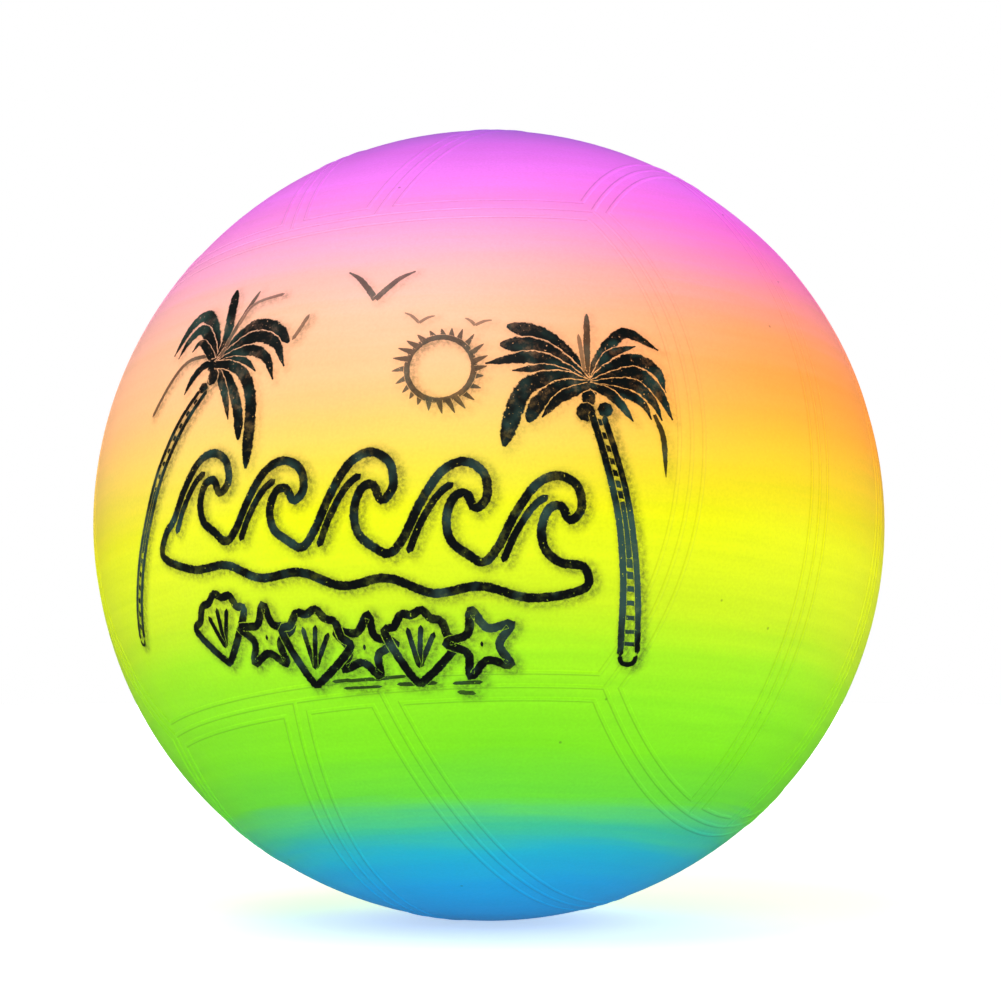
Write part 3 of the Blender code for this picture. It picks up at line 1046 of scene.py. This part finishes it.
    # Stray ink round the picture: a grainy mist of 1 mm blots
    mist = add(tree, "Attribute", attribute_name="ink_mist").outputs["Fac"]
    blots = add(
        tree, "TexNoise", {"Vector": place, "Scale": 900.0, "Detail": 3.0, "Roughness": 0.7}
    ).outputs["Fac"]
    grainy = add(
        tree, "MapRange", {"Value": blots, "From Min": 0.35, "From Max": 0.68, "To Min": 0.25}
    ).outputs["Result"]
    stray = add(tree, "Math", {0: mist, 1: grainy}, operation="MULTIPLY").outputs["Value"]
    thin = add(tree, "Math", {0: stray, 1: 0.78}, operation="MULTIPLY").outputs["Value"]
    return add(tree, "Mix", {0: thin, 6: dusted_with_painted_light, 7: linear("2f3812")}, data_type="RGBA").outputs[2]


def orange_peel(tree, strength):
    """The faint orange peel of a rotomoulded wall, 1.6 mm across. Returns its normal socket."""
    place = add(tree, "TexCoord").outputs["Object"]
    peel = add(
        tree, "TexNoise", {"Vector": place, "Scale": 600.0, "Detail": 3.0, "Roughness": 0.55}
    ).outputs["Fac"]
    return add(tree, "Bump", {"Height": peel, "Strength": strength, "Distance": 0.0002}).outputs["Normal"]


def sprayed_soft_pvc():
    """Soft PVC with fluorescent PVC paint sprayed on: a satin, faintly dimpled skin that shines broadly."""
    material, tree, shader = principled("sprayed_soft_pvc")
    tree.links.new(sprayed_colour(tree), shader.inputs["Base Color"])
    tree.links.new(orange_peel(tree, PEEL_ON_PAINT), shader.inputs["Normal"])
    place = add(tree, "TexCoord").outputs["Object"]
    # Patches that shine more and less, 22 mm across
    patches = add(tree, "TexNoise", {"Vector": place, "Scale": 45.0, "Detail": 4.0}).outputs["Fac"]
    rough = add(
        tree, "MapRange", {"Value": patches, "From Min": 0.3, "From Max": 0.7, "To Min": 0.36, "To Max": 0.46}
    )
    tree.links.new(rough.outputs["Result"], shader.inputs["Roughness"])
    shader.inputs["IOR"].default_value = PAINT_IOR
    shader.inputs["Specular IOR Level"].default_value = PAINT_SHINE
    return material


def stamped_pvc_ink():
    """Black PVC ink stamped over the paint: half-gloss, with ragged edges, pinholes and dry patches."""
    material, tree, shader = principled("stamped_pvc_ink")
    below = sprayed_colour(tree)
    place = add(tree, "TexCoord").outputs["Object"]
    across = add(tree, "Attribute", attribute_name="across").outputs["Fac"]
    cover = add(tree, "Attribute", attribute_name="cover").outputs["Fac"]
    side = add(tree, "Math", {0: across}, operation="ABSOLUTE").outputs["Value"]
    # Ragged edges, 0.8 mm
    ragged = add(
        tree, "TexNoise", {"Vector": place, "Scale": 1200.0, "Detail": 3.0, "Roughness": 0.65}
    ).outputs["Fac"]
    reach = add(tree, "Math", {0: ragged, 1: 0.55, 2: side}, operation="MULTIPLY_ADD").outputs["Value"]
    body = add(
        tree, "MapRange", {"Value": reach, "From Min": 1.10, "From Max": 1.22, "To Min": 1.0, "To Max": 0.0}
    ).outputs["Result"]
    # Pinholes and dry patches
    pores = add(tree, "TexNoise", {"Vector": place, "Scale": 1500.0, "Detail": 1.0}).outputs["Fac"]
    whole = add(
        tree, "MapRange", {"Value": pores, "From Min": 0.73, "From Max": 0.78, "To Min": 1.0, "To Max": 0.15}
    ).outputs["Result"]
    dry = add(
        tree, "TexNoise", {"Vector": place, "Scale": 220.0, "Detail": 6.0, "Roughness": 0.75}
    ).outputs["Fac"]
    laid = add(
        tree, "MapRange", {"Value": dry, "From Min": 0.52, "From Max": 0.76, "To Min": 1.0, "To Max": 0.80}
    ).outputs["Result"]
    part = body
    for share in (whole, laid, cover):
        part = add(tree, "Math", {0: part, 1: share}, operation="MULTIPLY").outputs["Value"]
    # Where the film is thick it is black, and where it is thin it goes bottle green, in 8 mm patches
    thick = add(tree, "TexNoise", {"Vector": place, "Scale": 120.0, "Detail": 3.0}).outputs["Fac"]
    thin = add(
        tree, "MapRange", {"Value": thick, "From Min": 0.50, "From Max": 0.72, "To Max": 0.75}
    ).outputs["Result"]
    film = add(tree, "Attribute", attribute_name="thin_film").outputs["Fac"]
    thinnest = add(tree, "Math", {0: thin, 1: film}, operation="MAXIMUM").outputs["Value"]
    black = add(
        tree, "Mix", {0: thinnest, 6: linear("050908"), 7: linear("2c4a42")}, data_type="RGBA"
    ).outputs[2]
    colour = add(tree, "Mix", {0: part, 6: below, 7: black}, data_type="RGBA").outputs[2]
    tree.links.new(colour, shader.inputs["Base Color"])
    tree.links.new(orange_peel(tree, PEEL_ON_PAINT), shader.inputs["Normal"])
    rough = add(
        tree, "MapRange", {"Value": dry, "From Min": 0.3, "From Max": 0.7, "To Min": 0.34, "To Max": 0.48}
    )
    tree.links.new(rough.outputs["Result"], shader.inputs["Roughness"])
    shader.inputs["IOR"].default_value = PAINT_IOR
    shader.inputs["Specular IOR Level"].default_value = PAINT_SHINE
    return material


def moulded_pvc(name, code, darker, roughness):
    """Unpainted moulded PVC: an even colour with faint flow marks, 4 mm across."""
    material, tree, shader = principled(name)
    place = add(tree, "TexCoord").outputs["Object"]
    flow = add(
        tree, "TexNoise", {"Vector": place, "Scale": 260.0, "Detail": 5.0, "Roughness": 0.6}
    ).outputs["Fac"]
    colour = add(tree, "Mix", {0: flow, 6: linear(code), 7: linear(darker)}, data_type="RGBA").outputs[2]
    tree.links.new(colour, shader.inputs["Base Color"])
    tree.links.new(orange_peel(tree, PEEL_ON_BARE_PVC), shader.inputs["Normal"])
    shader.inputs["Roughness"].default_value = roughness
    shader.inputs["IOR"].default_value = PVC_IOR
    return material


def pale_floor_paint():
    """A matt white studio floor, a little uneven. It glows more away from the ball, to stay white there."""
    material, tree, shader = principled("pale_floor_paint")
    place = add(tree, "TexCoord").outputs["Object"]
    cloud = add(tree, "TexNoise", {"Vector": place, "Scale": 3.0, "Detail": 4.0}).outputs["Fac"]
    colour = add(
        tree, "Mix", {0: cloud, 6: linear("fbfbfa"), 7: linear("f6f6f5")}, data_type="RGBA"
    ).outputs[2]
    tree.links.new(colour, shader.inputs["Base Color"])
    shader.inputs["Roughness"].default_value = 0.9
    shader.inputs["Emission Color"].default_value = (1, 1, 1, 1)
    away = add(tree, "VectorMath", {0: place}, operation="LENGTH").outputs["Value"]
    glow = add(
        tree, "MapRange", {"Value": away, "From Min": 0.35, "From Max": 0.80, "To Min": 0.45}
    ).outputs["Result"]
    tree.links.new(glow, shader.inputs["Emission Strength"])
    return material


# ---- studio


def from_view(right, up, towards):
    """A direction given as seen from the camera: to its right, up, and towards it."""
    side = Vector((math.cos(VIEW_AZIMUTH), math.sin(VIEW_AZIMUTH), 0))
    back = Vector((math.sin(VIEW_AZIMUTH), -math.cos(VIEW_AZIMUTH), 0))
    return (side * right + back * towards + Vector((0, 0, 1)) * up).normalized()


# Lights that fill the shadows and leave no reflection: where each hangs as seen from the camera, and watts
FILL_LIGHTS = (
    ("front_fill", (-0.05, 0.30, 0.95), 27.0),
    ("left_fill", (-0.95, 0.30, -0.10), 16.0),
    ("right_fill", (0.95, 0.30, -0.05), 28.0),
    ("back_fill", (0.05, 0.35, -0.95), 25.0),
)


def add_softbox(name, seen_from, distance, size, power, glossy):
    direction = from_view(*seen_from)
    light = bpy.data.lights.new(name, "AREA")
    light.shape = "DISK"
    light.size = size
    light.energy = power
    obj = bpy.data.objects.new(name, light)
    obj.location = direction * distance
    obj.rotation_euler = direction.to_track_quat("Z", "Y").to_euler()
    obj.visible_glossy = glossy
    bpy.context.scene.collection.objects.link(obj)


def make_studio(floor_height):
    scene = bpy.context.scene
    scene.view_settings.view_transform = "Standard"
    world = bpy.data.worlds.new("white_studio")
    world.use_nodes = True
    world.cycles.sampling_method = "NONE"
    scene.world = world
    tree = world.node_tree
    # White behind the ball, and little of it on the ball, where it would lie as a grey haze
    ray = add(tree, "LightPath")
    strength = add(
        tree, "Math", {0: ray.outputs["Is Camera Ray"], 1: WORLD_ON_BALL}, operation="MAXIMUM"
    ).outputs["Value"]
    tree.links.new(strength, tree.nodes["Background"].inputs["Strength"])
    tree.nodes["Background"].inputs["Color"].default_value = (1, 1, 1, 1)

    add_softbox("overhead_softbox", (-0.294, 0.874, 0.411), 1.5, 1.2, 10.5, glossy=True)
    for name, seen_from, watts in FILL_LIGHTS:
        add_softbox(name, seen_from, 2.2, 2.0, watts, glossy=False)

    bm = bmesh.new()
    bmesh.ops.create_circle(bm, cap_ends=True, segments=96, radius=FLOOR_RADIUS)
    bmesh.ops.translate(bm, verts=bm.verts[:], vec=(0, 0, floor_height))
    floor = finish_mesh(bm, "studio_floor", pale_floor_paint(), SHARP_ON_FLOOR)
    floor.visible_glossy = False

    camera = bpy.data.cameras.new("camera")
    camera.lens = LENS_MM
    camera.sensor_width = SENSOR_MM
    camera.shift_x, camera.shift_y = CAMERA_SHIFT
    camera.clip_start = 0.01
    obj = bpy.data.objects.new("camera", camera)
    back = from_view(0, 0, 1)
    obj.location = back * VIEW_DISTANCE
    obj.rotation_euler = back.to_track_quat("Z", "Y").to_euler()
    scene.collection.objects.link(obj)
    scene.camera = obj


def main():
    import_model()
    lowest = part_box("ball_skin")[0].z

    skin = make_skin(sprayed_soft_pvc())
    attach(skin, "ball")
    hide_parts("ball_skin")

    ink = make_ink(stamped_pvc_ink())
    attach(ink, "ball")

    seat = make_valve_seat(moulded_pvc("natural_soft_pvc", "dcd6c4", "cbc4ae", 0.42))
    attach(seat, "ball")
    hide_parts("valve_seat")

    plug = make_valve_plug(moulded_pvc("white_firm_pvc", "dededa", "d0d0ca", 0.36))
    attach(plug, "plug")
    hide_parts("valve_plug")

    make_studio(lowest - FLOOR_GAP)


main()
